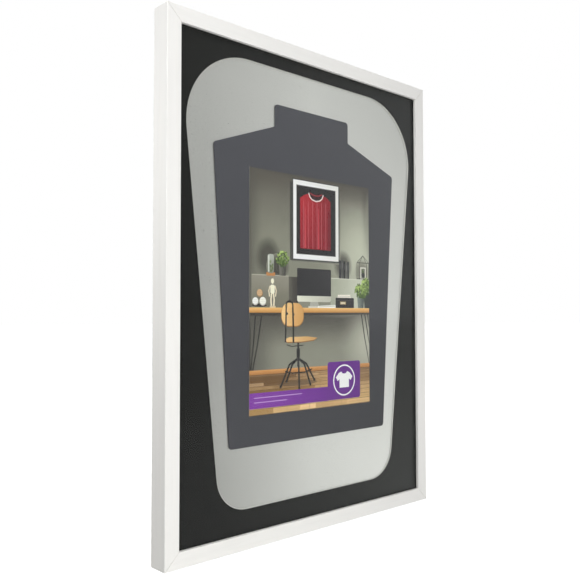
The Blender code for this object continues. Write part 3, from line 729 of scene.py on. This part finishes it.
def draw_room():
    block(0, 0, PRINT_W, PRINT_H, wall_tone)
    # wall panel behind the desk, with its lit top edge
    # shade behind the plants, the binders and the lantern
    soft_shade(104, 384, 56, 72, (70, 68, 62), 0.75)
    soft_shade(160, 420, 50, 44, (64, 62, 57), 0.8)
    soft_shade(566, 396, 48, 56, (84, 82, 76), 0.75)
    soft_shade(700, 420, 40, 50, (120, 118, 108), 0.7)
    block(12, 457, 222, 462, (176, 173, 160))
    block(482, 457, 750, 462, (206, 207, 194))
    block(12, 461, 222, 600, lambda x, y: blend((150, 147, 135), (128, 126, 113), (y - 461) / 120))
    block(222, 461, 278, 600, lambda x, y: blend((104, 101, 93), (72, 69, 64), (x - 222) / 40))
    block(482, 461, 750, 600, lambda x, y: blend((172, 174, 159), (198, 200, 186), (x - 482) / 200))
    # soft shade cast by the hung frame
    for k in range(5):
        block(242 - 3 * k, 30 + k, 548 - 2 * k, 392 - 2 * k,
              lambda x, y, k=k: blend(wall_tone(x, y), (62, 62, 60), 0.16 + 0.13 * k))
    # hung frame: dark edge, white mount, black inner mount, plain pin-striped shirt
    block(246, 17, 540, 382, (46, 46, 48))
    block(249, 20, 537, 379, lambda x, y: blend((252, 252, 250), (226, 225, 221), (x - 249) / 288))
    block(268, 42, 518, 357, (120, 119, 117))
    block(271, 45, 515, 354, (40, 38, 39))
    body = [(348, 74), (318, 84), (291, 100), (291, 330), (484, 330), (484, 100), (462, 84), (433, 74),
            (424, 92), (408, 101), (391, 104), (374, 101), (358, 92)]
    area(body, lambda x, y: blend(
        blend((178, 52, 62), (142, 36, 48), (x - 300) / 190), (128, 30, 42), (y - 90) / 300 * 0.7))
    for x, w, tone in ((306, 7, (150, 46, 58)), (468, 12, (124, 34, 46)), (440, 6, (146, 44, 56)),
                       (320, 4, (196, 84, 92)), (404, 5, (190, 74, 84))):
        area([(x, 150), (x + w, 130), (x + w + 2, 326), (x - 3, 326)], tone)
    for x in (312, 340, 368, 396, 424, 452):
        block(x, 112, x + 1.8, 328, (214, 128, 134))
    stroke([(344, 72), (352, 90), (366, 101), (391, 107), (416, 101), (429, 90), (437, 72)], 6, (222, 212, 208))
    area([(350, 70), (431, 70), (423, 86), (408, 95), (391, 98), (373, 95), (358, 86)], (58, 30, 36))
    stroke([(352, 71), (372, 79), (391, 81), (411, 79), (430, 71)], 4, (168, 60, 68))
    # shelf, left: plant under glass on a cork foot, and a potted plant
    soft_block(93, 446, 143, 461, 3, (188, 138, 92))
    soft_block(100, 366, 136, 450, 12, lambda x, y: blend((176, 180, 170), (140, 142, 132), (y - 366) / 80))
    foliage(118, 420, 12, 22, 26, 5, (92, 104, 76), (160, 172, 132))
    soft_block(104, 372, 110, 444, 2, (214, 216, 208))
    area([(165, 412), (207, 412), (203, 459), (169, 459)],
         lambda x, y: blend((126, 124, 116), (82, 80, 75), (x - 165) / 40))
    foliage(186, 384, 36, 34, 120, 6.5)
    # shelf, right: dark binders and a wire lantern with a small pot
    for x, w, t, tone in ((540, 15, 372, (60, 60, 62)), (557, 10, 368, (86, 86, 86)), (569, 14, 374, (48, 48, 50)),
                          (585, 9, 380, (104, 104, 102)), (596, 12, 376, (66, 66, 68))):
        block(x, t, x + w, 458, tone)
        block(x + w * 0.3, t + 14, x + w * 0.7, t + 40, tuple(c + 34 for c in tone))
    soft_block(688, 398, 728, 458, 3, (214, 212, 202))
    block(694, 404, 722, 452, (148, 148, 138))
    oval(708, 436, 11, 14, (58, 58, 58))
    foliage(708, 416, 10, 11, 16, 4, (72, 84, 58), (120, 134, 92))
    for line in ([(664, 458), (664, 376), (706, 340), (748, 376), (748, 458)], [(664, 376), (748, 376)],
                 [(680, 458), (680, 380), (706, 340)], [(732, 458), (732, 380), (706, 340)], [(664, 455), (748, 455)]):
        stroke(line, 3, (52, 50, 50))
    # desk: things on it
    oval(54, 590, 42, 7, (60, 58, 56))
    for x, y, r, tone in ((33, 573, 17, (240, 237, 228)), (74, 573, 19, (236, 232, 222)), (57, 538, 17, (206, 176, 142))):
        oval(x, y, r, r, tuple(c - 46 for c in tone), 28)
        oval(x - 1, y - 2, r - 2, r - 2, tone, 28)
        for k in (-0.5, 0.0, 0.5):
            stroke([(x - r * 0.75, y + k * r), (x, y + k * r + 3), (x + r * 0.75, y + k * r)], 1.2, tuple(c - 34 for c in tone))
    wood = (236, 228, 208)
    oval(128, 484, 9, 12, wood, 20)
    soft_block(116, 500, 140, 540, 8, wood)
    for sx in (-1, 1):
        stroke([(128 + sx * 13, 504), (128 + sx * 21, 526), (128 + sx * 17, 552)], 6, (222, 212, 190))
        stroke([(128 + sx * 6, 540), (128 + sx * 9, 566), (128 + sx * 7, 594)], 8, (228, 219, 198))
    soft_block(112, 592, 146, 600, 3, (206, 192, 166))
    # screen
    soft_block(272, 420, 486, 572, 6, (52, 50, 52))
    block(280, 428, 478, 542, lambda x, y: blend((48, 47, 49), (72, 70, 72), (x - y + 200) / 420))
    area([(272, 545), (486, 545), (486, 566), (480, 572), (278, 572), (272, 566)],
         lambda x, y: blend((218, 218, 204), (190, 189, 178), (x - 272) / 214))
    area([(354, 572), (402, 572), (408, 594), (348, 594)], (176, 175, 166))
    soft_block(340, 592, 416, 600, 3, (206, 205, 196))
    area([(404, 590), (512, 584), (528, 598), (396, 600)], (236, 234, 226))
    area([(410, 592), (508, 587), (514, 592), (408, 597)], (206, 204, 196))
    # box with a stack of paper, and two plants
    area([(532, 536), (616, 534), (620, 552), (528, 552)], (226, 222, 212))
    stroke([(530, 544), (618, 543)], 1.5, (180, 176, 166))
    soft_block(516, 550, 641, 599, 4, (52, 50, 51))
    block(516, 562, 641, 564.5, (78, 76, 76))
    soft_block(546, 568, 586, 582, 2, (170, 152, 118))
    block(551, 571, 581, 579, (216, 206, 182))
    area([(712, 528), (750, 528), (750, 599), (716, 599)], (72, 76, 74))
    area([(664, 540), (716, 540), (710, 599), (670, 599)],
         lambda x, y: blend((142, 150, 144), (92, 98, 94), (x - 664) / 50))
    foliage(728, 492, 36, 40, 120, 8)
    foliage(690, 516, 40, 34, 130, 8)
    # desk top and hairpin legs
    for line in ([(0, 640), (4, 700), (2, 890)], [(34, 620), (22, 760), (6, 884)], [(70, 620), (44, 760), (14, 884)],
                 [(692, 618), (716, 740), (750, 870)], [(716, 618), (734, 700), (750, 770)], [(738, 618), (750, 690)]):
        stroke(line, 6.0, (40, 38, 38))
    area([(0, 600), (750, 598), (750, 620), (0, 622)],
         lambda x, y: blend((232, 194, 136), (196, 146, 90), (y - 600) / 22))
    for k in range(7):
        y = 602 + k * 2.6
        stroke([(rnd.uniform(0, 260), y), (rnd.uniform(420, 750), y + 0.6)], 0.7, (206, 160, 104))
    area([(0, 622), (750, 620), (750, 630), (0, 636)], lambda x, y: blend(wall_tone(x, y), (58, 52, 48), 0.55))
    # floor
    block(0, 868, 750, 888, lambda x, y: blend((208, 160, 108), (178, 130, 84), (y - 868) / 20))
    block(0, 887, 750, 890, (110, 84, 62))
    block(0, 890, 750, PRINT_H, floor_tone)
    y = 896.0
    row = 0
    while y < PRINT_H:
        high = 12 + row * 1.5
        x = -rnd.uniform(0, 160)
        while x < PRINT_W:
            wide = rnd.uniform(70, 210)
            lift = rnd.choice((-34, -24, -12, 0, 10, 20))
            left = 1.0 if x < 340 else 0.45
            area([(x, y), (x + wide, y - 0.3), (x + wide, y + high), (x, y + high)],
                 lambda x, y, lift=lift * left: tuple(c + lift for c in floor_tone(x, y)))
            for _ in range(3):
                at = y + rnd.uniform(0.2, 0.8) * high
                stroke([(x + 6, at), (x + wide * rnd.uniform(0.5, 0.95), at + 0.3)], 1.0,
                       lambda x, y, lift=lift * left: tuple(c + lift - 16 for c in floor_tone(x, y)))
            x += wide
        stroke([(0, y), (750, y - 1)], 1.6, lambda x, y: blend(floor_tone(x, y), (84, 62, 44), 0.7))
        for k in range(4):
            x = (row * 137 + k * 205) % 750
            block(x, y, x + 1.4, y + 13 + row * 1.4, lambda x, y: blend(floor_tone(x, y), (120, 90, 62), 0.6))
        y += 12 + row * 1.5
        row += 1
    # chair: shade on the floor, legs, column, seat, back and its bent tube
    oval(276, 936, 118, 12, lambda x, y: blend(floor_tone(x, y), (74, 60, 48), 0.5), 32)
    dark = (38, 37, 38)
    for foot in ((174, 948), (208, 926), (352, 948), (377, 928), (284, 962)):
        stroke([(277, 826), ((277 + foot[0]) / 2, 852), foot], 9.5, dark)
        soft_block(foot[0] - 6, foot[1] - 6, foot[0] + 6, foot[1] + 4, 3, (36, 35, 36))
    stroke([(200, 880), (240, 890), (318, 890), (362, 878)], 6, dark)
    block(272, 756, 284, 862, (58, 57, 58))
    block(268, 782, 288, 822, (42, 41, 42))
    stroke([(210, 764), (240, 772), (310, 768)], 4, dark)
    soft_block(178, 578, 312, 684, 44, (176, 132, 84), 10)
    soft_block(180, 578, 310, 680, 43,
               lambda x, y: blend((232, 198, 146), (206, 162, 108), (x - 180) / 130), 10)
    for k in range(6):
        stroke([(196 + 5 * k, 606 + 12 * k), (296 - 4 * k, 604 + 12 * k)], 0.9, (206, 166, 114))
    area([(196, 742), (226, 732), (330, 731), (397, 738), (372, 750), (300, 756), (212, 756)], (150, 110, 70))
    area([(197, 740), (226, 730), (330, 729), (397, 736), (372, 746), (300, 752), (212, 752)],
         lambda x, y: blend((224, 192, 144), (204, 166, 118), (x - 200) / 190))
    tube = [(202, 752), (204, 700), (207, 600)] + arc(226, 590, 20, 180, 360, 8) + [(250, 700), (250, 756)]
    stroke(tube, 8.0, dark)
    stroke([(244, 598), (247, 690), (247, 752)], 6.0, dark)
    stroke([(209, 690), (210, 602), (216, 584)], 1.4, (128, 126, 126))
    for x, y in ((212, 626), (250, 630)):
        oval(x, y, 6, 6, (72, 70, 70), 14)
    # a plain band with no lettering, and a tile with a shirt pictogram in a ring
    violet = lambda x, y: blend((136, 78, 164), (108, 54, 140), x / 690)
    area([(0, 964), (470, 966), (470, 1031), (0, 1031)], violet)
    for y, x1 in ((985, 300), (1005, 210)):
        stroke([(26, y), (x1, y)], 3.5, (196, 166, 210))
    soft_block(462, 852, 682, 1030, 12, violet)
    oval(572, 941, 74, 74, (240, 234, 244), 40)
    oval(572, 941, 67, 67, violet, 40)
    shirt = [(552, 900), (536, 906), (516, 926), (528, 944), (540, 936), (540, 976), (604, 976), (604, 936),
             (616, 944), (628, 926), (608, 906), (592, 900), (584, 908), (572, 911), (560, 908)]
    area(shirt, (250, 247, 250))


def topmost(out_v, out_f):
    """For each triangle, the last drawn area that its middle lies in."""
    xy = np.array([(v.x, v.y) for v in out_v])
    mid = xy[np.array([list(f) for f in out_f])].mean(1)
    owner = np.full(len(mid), -1)
    for index, (points, _) in enumerate(areas):
        p = np.array(points)
        near = np.flatnonzero(((mid >= p.min(0)) & (mid <= p.max(0))).all(1))
        x, y = mid[near, 0][:, None], mid[near, 1][:, None]
        a, b = p[None], np.roll(p, -1, 0)[None]
        crosses = (a[..., 1] > y) != (b[..., 1] > y)
        rise = np.where(b[..., 1] == a[..., 1], 1.0, b[..., 1] - a[..., 1])
        at = a[..., 0] + (y - a[..., 1]) * (b[..., 0] - a[..., 0]) / rise
        inside = (crosses & (x < at)).sum(1) % 2 == 1
        owner[near[inside]] = index
    return owner


def printed_sheet():
    """A closed thin sheet whose front is cut along every drawn outline."""
    draw_room()
    lo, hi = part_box("paper_insert")
    verts, faces = [], []
    for points, _ in areas:
        start = len(verts)
        verts += [Vector(p) for p in points]
        faces.append(list(range(start, start + len(points))))
    step = 18.0
    for i in range(1, int(PRINT_W / step)):
        for j in range(1, int(PRINT_H / step)):
            verts.append(Vector((i * step + 0.37 * (j % 2), j * step + 0.29 * (i % 3))))
    out_v, _, out_f, _, _, _ = delaunay_2d_cdt(verts, [], faces, 1, 1e-3, True)
    owner = topmost(out_v, out_f)
    bm = bmesh.new()
    sx, sz = (hi.x - lo.x) / PRINT_W, (hi.z - lo.z) / PRINT_H
    inset = 0.05 * MM
    front = [bm.verts.new((lo.x + v.x * sx, lo.y, hi.z - v.y * sz)) for v in out_v]
    tops, tones = [], []
    for corners, top in zip(out_f, owner):
        if top < 0:
            continue
        face = bm.faces.new([front[k] for k in corners])
        tops.append(face)
        tones.append(areas[top][1])
    paint = bm.loops.layers.float_color.new("print")
    for face, tone in zip(tops, tones):
        middle = face.calc_center_median()
        for loop in face.loops:
            co = loop.vert.co
            x, y = (co.x - lo.x) / sx, (hi.z - co.z) / sz
            drawn = vivid(tone(x, y) if callable(tone) else tone)
            loop[paint] = (*srgb(*(min(c, 250) for c in drawn)), 1.0)
        face.material_index = 0
    rim = [e for e in bm.edges if len(e.link_faces) == 1]
    made = bmesh.ops.extrude_edge_only(bm, edges=rim)["geom"]
    back = [v for v in made if isinstance(v, bmesh.types.BMVert)]
    for v in back:
        v.co.y = hi.y
    far = [e for e in made if isinstance(e, bmesh.types.BMEdge) and len(e.link_faces) == 1]
    bmesh.ops.contextual_create(bm, geom=far)
    printed = set(tops)
    for face in bm.faces:
        if face not in printed:
            face.material_index = 1
    loose = [v for v in bm.verts if not v.link_faces]
    bmesh.ops.delete(bm, geom=loose, context="VERTS")
    bmesh.ops.recalc_face_normals(bm, faces=bm.faces)
    mesh = bpy.data.meshes.new("printed_sheet")
    bm.to_mesh(mesh)
    bm.free()
    return mesh


def print_material():
    s = Shader("print_face", rough=0.4, Specular_IOR_Level=0.3)
    ink = s.node("ShaderNodeAttribute", attribute_name="print", attribute_type="GEOMETRY")
    grain = s.noise(1500, 4, 0.7)
    cloud = s.noise(60, 4, 0.6)
    tone = s.mix(s.span(grain, 0.3, 0.7, 0.0, 0.12), ink.outputs["Color"], (1.0, 1.0, 1.0), "SOFT_LIGHT")
    tone = s.mix(s.span(cloud, 0.3, 0.7, 0.0, 0.10), tone, (0.0, 0.0, 0.0), "SOFT_LIGHT")
    return s.set(Base_Color=tone, Roughness=s.span(grain, 0.3, 0.7, 0.36, 0.46), Normal=s.bump(grain, 0.12, 0.00002))


PAPER_BACK = card("paper_white_back", srgb(236, 236, 231), srgb(246, 246, 242), 0.7)
SHEET = printed_sheet()
sheet_obj = new_object("printed_sheet", SHEET, None, "frame", None, ("paper_insert",))
SHEET.materials.append(print_material())
SHEET.materials.append(PAPER_BACK)


# ---------------------------------------------------------------- studio
lo, hi = CAD_BOX
floor_mesh = bpy.data.meshes.new("studio_floor")
floor_mesh.from_pydata(
    [(-30, -30, lo.z - 0.0006), (30, -30, lo.z - 0.0006), (30, 30, lo.z - 0.0006), (-30, 30, lo.z - 0.0006)],
    [], [(0, 1, 2, 3)],
)
floor = bpy.data.objects.new("studio_floor", floor_mesh)
scene.collection.objects.link(floor)
fs = Shader("studio_floor", (0.62, 0.62, 0.615), 0.85, Specular_IOR_Level=0.1)
fs.p.inputs["Emission Color"].default_value = (1, 1, 1, 1)
seen = fs.node("ShaderNodeLightPath")
watched = fs.math("MAXIMUM", seen.outputs["Is Camera Ray"], fs.math("MULTIPLY", seen.outputs["Is Glossy Ray"], 0.52))
fs.set(
    Roughness=fs.span(fs.noise(4, 2), 0.3, 0.7, 0.8, 0.9),
    Emission_Strength=fs.span(watched, 0, 1, 0.03, 0.92),
)
floor_mesh.materials.append(fs.mat)

# An even room, with broad soft glows of extra light from some directions.
world = bpy.data.worlds.new("studio")
scene.world = world
world.use_nodes = True
nt = world.node_tree
shade = nt.nodes["Background"]
WORLD = 0.15
GLOWS = (                               # (towards, half angle, strength)
    ((0.97, -0.26, -0.12), 50, 0.45),
    ((0.75, -0.60, -0.35), 40, 0.30),
    ((0.0, -0.3, 1.0), 80, 0.10),
    ((0.60, -0.60, 0.55), 50, 0.39),
)
where = nt.nodes.new("ShaderNodeTexCoord")
total = None
for towards, half, strength in GLOWS:
    dot = nt.nodes.new("ShaderNodeVectorMath")
    dot.operation = "DOT_PRODUCT"
    dot.inputs[1].default_value = Vector(towards).normalized()
    nt.links.new(where.outputs["Generated"], dot.inputs[0])
    ramp = nt.nodes.new("ShaderNodeMapRange")
    ramp.interpolation_type = "SMOOTHSTEP"
    ramp.inputs["From Min"].default_value = math.cos(math.radians(half))
    ramp.inputs["From Max"].default_value = 1.0
    ramp.inputs["To Max"].default_value = strength
    nt.links.new(dot.outputs["Value"], ramp.inputs["Value"])
    plus = nt.nodes.new("ShaderNodeMath")
    plus.operation = "ADD"
    plus.inputs[0].default_value = WORLD
    if total is not None:
        nt.links.new(total, plus.inputs[0])
    nt.links.new(ramp.outputs["Result"], plus.inputs[1])
    total = plus.outputs[0]
paths = nt.nodes.new("ShaderNodeLightPath")
level = nt.nodes.new("ShaderNodeMapRange")
level.inputs["To Max"].default_value = 1.0
nt.links.new(total, level.inputs["To Min"])
nt.links.new(paths.outputs["Is Camera Ray"], level.inputs["Value"])
nt.links.new(level.outputs["Result"], shade.inputs["Strength"])
shade.inputs["Color"].default_value = (1, 1, 1, 1)


def area_light(name, place, aim, size, power, colour=(1, 1, 1)):
    data = bpy.data.lights.new(name, "AREA")
    data.shape = "RECTANGLE"
    data.size, data.size_y = size
    data.energy = power
    data.color = colour
    obj = bpy.data.objects.new(name, data)
    scene.collection.objects.link(obj)
    obj.location = place
    obj.visible_camera = False
    obj.rotation_euler = (Vector(aim) - Vector(place)).to_track_quat("-Z", "Y").to_euler()
    return obj


KEY, SIDE, FILL, BACK = 7.9, 0.97, 7.2, 34
area_light("key_high_left", (-0.95, -0.55, 0.8), (-0.1, 0, -0.1), (0.5, 0.5), KEY)
area_light("side_left", (-0.71, 0.09, -0.005), (-0.264, -0.02, -0.005), (0.2, 0.2), SIDE)
area_light("fill_low_front", (-0.25, -1.3, -0.38), (0, 0, -0.3), (0.4, 0.25), FILL).visible_glossy = False
area_light("back_fill", (0.6, 2.4, 0.8), (0, 0, -0.2), (1.6, 1.6), BACK)

scene.view_settings.view_transform = "Standard"
scene.view_settings.look = "None"
scene.view_settings.exposure = 0.0
scene.view_settings.gamma = 1.0

# The camera stands to the left, 44 degrees round from the front, a little below the middle.
AZ, EL, ROLL = math.radians(43.72), math.radians(2.208), math.radians(-0.166)
FOCAL_PX, CENTRE_PX = 713.1, (320.0, 290.0)
fwd = Vector((math.sin(AZ) * math.cos(EL), math.cos(AZ) * math.cos(EL), math.sin(EL)))
right = Vector((math.cos(AZ), -math.sin(AZ), 0))
up = right.cross(fwd)
right2 = right * math.cos(ROLL) + up * math.sin(ROLL)
up2 = up * math.cos(ROLL) - right * math.sin(ROLL)
cam = bpy.data.cameras.new("camera")
cam_obj = bpy.data.objects.new("camera", cam)
scene.collection.objects.link(cam_obj)
cam.sensor_width = 36.0
cam.lens = FOCAL_PX * 36.0 / 580.0
cam.shift_x = (290.0 - CENTRE_PX[0]) / 580.0
cam.shift_y = (CENTRE_PX[1] - 290.0) / 580.0
cam.clip_start, cam.clip_end = 0.01, 100
turn = Matrix((right2, up2, -fwd)).transposed()
cam_obj.matrix_world = Matrix.Translation((-0.7476, -0.7883 + lo.y, 0.3194 + lo.z)) @ turn.to_4x4()
scene.camera = cam_obj
